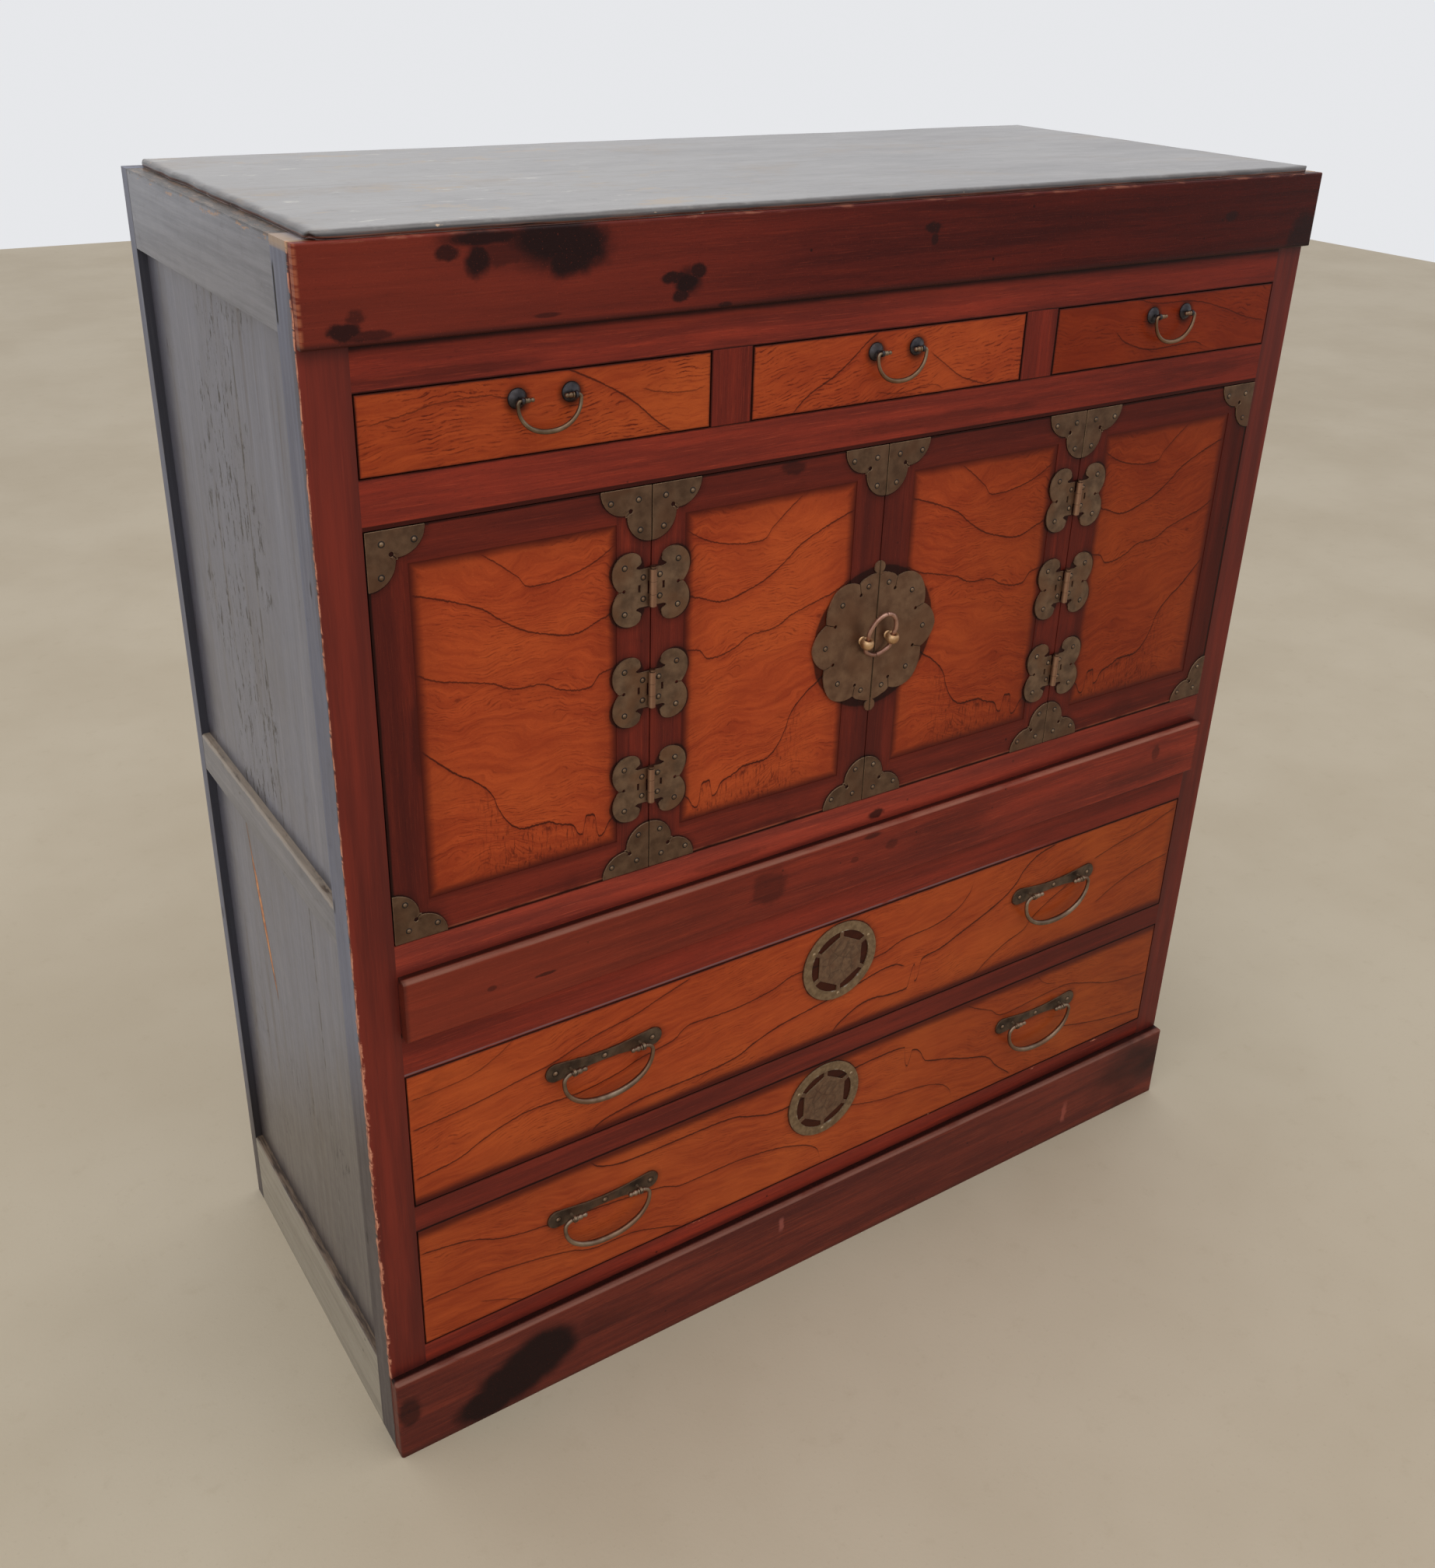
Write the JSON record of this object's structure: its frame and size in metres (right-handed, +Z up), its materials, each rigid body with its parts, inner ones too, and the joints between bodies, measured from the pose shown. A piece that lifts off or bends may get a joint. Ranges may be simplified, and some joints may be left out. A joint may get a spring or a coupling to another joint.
{
  "type": "korean two tier chest",
  "caption": "Framed wooden chest with small top drawers, a pair of hinged doors between fixed leaves, full-width lower drawers and ornamental metal fittings.",
  "frame": {"origin": "centre of the footprint, on the floor", "axes": "+X to the right seen from the front, the front faces -Y, +Z up"},
  "size_m": [1.08, 0.4514, 1.19],
  "materials": {
    "red_wood": "red-brown lacquered hardwood, semi-gloss",
    "orange_wood": "orange figured zelkova, glossy lacquer",
    "side_lacquer": "dark grey-brown worn lacquer",
    "top_wood": "dark worn lacquer",
    "inner_wood": "plain pale softwood",
    "dark_bronze": "dark patinated brass, satin",
    "nail_brass": "worn yellow brass, satin",
    "copper": "polished pinkish copper"
  },
  "bodies": {
    "case": {"top_board": "top_wood", "cornice_board": "red_wood", "middle_board": "red_wood", "plinth_board": "red_wood", "front_posts": "red_wood", "back_posts": "side_lacquer", "side_rails": "side_lacquer", "side_panels": "side_lacquer", "back_panel": "inner_wood", "front_rails": "red_wood", "muntins": "red_wood", "inner_shelves": "inner_wood", "drawer_guides": "inner_wood", "fixed_leaf_frames": "red_wood", "fixed_leaf_panels": "orange_wood", "fixed_corner_brackets": "dark_bronze", "fixed_hinge_leaves": "dark_bronze", "fixed_nails": "nail_brass", "hinge_pins": "dark_bronze"},
    "door_left": {"door_left_frame": "red_wood", "door_left_panel": "orange_wood", "door_left_brackets": "dark_bronze", "door_left_hinge_leaves": "dark_bronze", "door_left_nails": "nail_brass", "door_left_lock_plate": "dark_bronze", "door_left_eye": "nail_brass"},
    "ring_left": {"ring_half_left": "copper"},
    "door_right": {"door_right_frame": "red_wood", "door_right_panel": "orange_wood", "door_right_brackets": "dark_bronze", "door_right_hinge_leaves": "dark_bronze", "door_right_nails": "nail_brass", "door_right_lock_plate": "dark_bronze", "door_right_eye": "nail_brass"},
    "ring_right": {"ring_half_right": "copper"},
    "small_drawer_left": {"small_drawer_left_front": "orange_wood", "small_drawer_left_box": "inner_wood", "small_drawer_left_pull_posts": "dark_bronze"},
    "small_drawer_left_bail": {"small_drawer_left_bail": "dark_bronze"},
    "small_drawer_centre": {"small_drawer_centre_front": "orange_wood", "small_drawer_centre_box": "inner_wood", "small_drawer_centre_pull_posts": "dark_bronze"},
    "small_drawer_centre_bail": {"small_drawer_centre_bail": "dark_bronze"},
    "small_drawer_right": {"small_drawer_right_front": "orange_wood", "small_drawer_right_box": "inner_wood", "small_drawer_right_pull_posts": "dark_bronze"},
    "small_drawer_right_bail": {"small_drawer_right_bail": "dark_bronze"},
    "upper_wide_drawer": {"upper_wide_drawer_front": "orange_wood", "upper_wide_drawer_box": "inner_wood", "upper_wide_drawer_handle_plates": "dark_bronze", "upper_wide_drawer_disc": "dark_bronze"},
    "upper_wide_drawer_bail_left": {"upper_wide_drawer_bail_left": "dark_bronze"},
    "upper_wide_drawer_bail_right": {"upper_wide_drawer_bail_right": "dark_bronze"},
    "lower_wide_drawer": {"lower_wide_drawer_front": "orange_wood", "lower_wide_drawer_box": "inner_wood", "lower_wide_drawer_handle_plates": "dark_bronze", "lower_wide_drawer_disc": "dark_bronze"},
    "lower_wide_drawer_bail_left": {"lower_wide_drawer_bail_left": "dark_bronze"},
    "lower_wide_drawer_bail_right": {"lower_wide_drawer_bail_right": "dark_bronze"}
  },
  "joints": [
    {"name": "door_left_hinge", "type": "hinge", "parent": "case", "child": "door_left", "pos_m": [-0.2515, -0.20991, 0.784], "axis": [0, 0, -1], "range_deg": [0, 160]},
    {"name": "ring_left_swing", "type": "hinge", "parent": "door_left", "child": "ring_left", "pos_m": [-0.0154, -0.21551, 0.779], "axis": [0, 0.2588, -0.9659], "range_deg": [0, 60]},
    {"name": "door_right_hinge", "type": "hinge", "parent": "case", "child": "door_right", "pos_m": [0.2515, -0.20991, 0.784], "axis": [0, 0, 1], "range_deg": [0, 160]},
    {"name": "ring_right_swing", "type": "hinge", "parent": "door_right", "child": "ring_right", "pos_m": [0.0154, -0.21551, 0.779], "axis": [0, -0.2588, 0.9659], "range_deg": [0, 60]},
    {"name": "small_drawer_left_slide", "type": "slide", "parent": "case", "child": "small_drawer_left", "axis": [0, -1, 0], "range_m": [0, 0.285]},
    {"name": "small_drawer_left_bail_swing", "type": "hinge", "parent": "small_drawer_left", "child": "small_drawer_left_bail", "pos_m": [-0.349, -0.21531, 1.0565], "axis": [-1, 0, 0], "range_deg": [0, 110]},
    {"name": "small_drawer_centre_slide", "type": "slide", "parent": "case", "child": "small_drawer_centre", "axis": [0, -1, 0], "range_m": [0, 0.285]},
    {"name": "small_drawer_centre_bail_swing", "type": "hinge", "parent": "small_drawer_centre", "child": "small_drawer_centre_bail", "pos_m": [0, -0.21531, 1.0565], "axis": [-1, 0, 0], "range_deg": [0, 110]},
    {"name": "small_drawer_right_slide", "type": "slide", "parent": "case", "child": "small_drawer_right", "axis": [0, -1, 0], "range_m": [0, 0.285]},
    {"name": "small_drawer_right_bail_swing", "type": "hinge", "parent": "small_drawer_right", "child": "small_drawer_right_bail", "pos_m": [0.35, -0.21531, 1.0565], "axis": [-1, 0, 0], "range_deg": [0, 110]},
    {"name": "upper_wide_drawer_slide", "type": "slide", "parent": "case", "child": "upper_wide_drawer", "axis": [0, -1, 0], "range_m": [0, 0.285]},
    {"name": "upper_wide_drawer_bail_left_swing", "type": "hinge", "parent": "upper_wide_drawer", "child": "upper_wide_drawer_bail_left", "pos_m": [-0.299, -0.21581, 0.4005], "axis": [-1, 0, 0], "range_deg": [0, 110]},
    {"name": "upper_wide_drawer_bail_right_swing", "type": "hinge", "parent": "upper_wide_drawer", "child": "upper_wide_drawer_bail_right", "pos_m": [0.302, -0.21581, 0.4005], "axis": [-1, 0, 0], "range_deg": [0, 110]},
    {"name": "lower_wide_drawer_slide", "type": "slide", "parent": "case", "child": "lower_wide_drawer", "axis": [0, -1, 0], "range_m": [0, 0.285]},
    {"name": "lower_wide_drawer_bail_left_swing", "type": "hinge", "parent": "lower_wide_drawer", "child": "lower_wide_drawer_bail_left", "pos_m": [-0.301, -0.21581, 0.2155], "axis": [-1, 0, 0], "range_deg": [0, 110]},
    {"name": "lower_wide_drawer_bail_right_swing", "type": "hinge", "parent": "lower_wide_drawer", "child": "lower_wide_drawer_bail_right", "pos_m": [0.303, -0.21581, 0.2155], "axis": [-1, 0, 0], "range_deg": [0, 110]}
  ]
}
